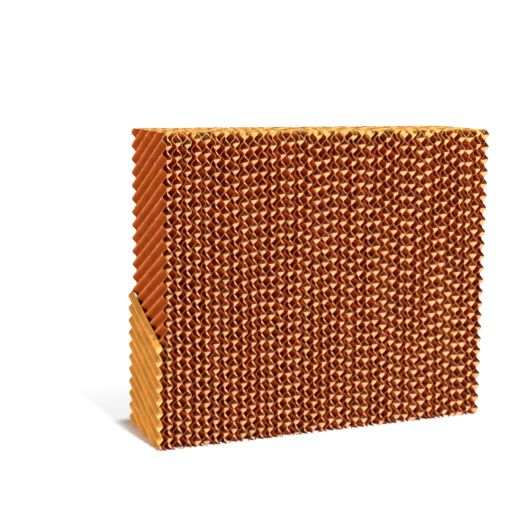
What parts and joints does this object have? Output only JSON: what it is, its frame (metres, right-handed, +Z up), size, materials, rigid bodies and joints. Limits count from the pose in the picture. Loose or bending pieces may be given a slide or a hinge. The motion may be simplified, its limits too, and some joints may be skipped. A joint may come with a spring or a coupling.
{
  "type": "evaporative cooling pad",
  "caption": "Block of corrugated, resin-stiffened paper sheets glued crest to crest with crossing slanted flutes, which wets the air blown through it and cools it.",
  "frame": {"origin": "middle of the pad's footprint, on the floor under its lower cut edges", "axes": "+Z up the pad's height, +X along the stack of sheets toward the right end, -Y out of the front face, where the air leaves"},
  "size_m": [0.5248, 0.15, 0.445],
  "materials": {
    "left_end_sheet": "resin-stiffened kraft paper, matt red-brown, pale rubbed ridges",
    "rising_sheets": "resin-stiffened kraft paper, matt red-brown, paler sawn edges",
    "falling_sheets": "resin-stiffened kraft paper, matt amber, paler sawn edges",
    "right_end_sheet": "resin-stiffened kraft paper, matt amber",
    "corner_remnant": "resin-stiffened kraft paper, matt golden amber, pale torn edge"
  },
  "bodies": {
    "root": {"left_end_sheet": "left_end_sheet", "rising_sheets": "rising_sheets", "falling_sheets": "falling_sheets", "right_end_sheet": "right_end_sheet", "corner_remnant": "corner_remnant"}
  },
  "joints": []
}
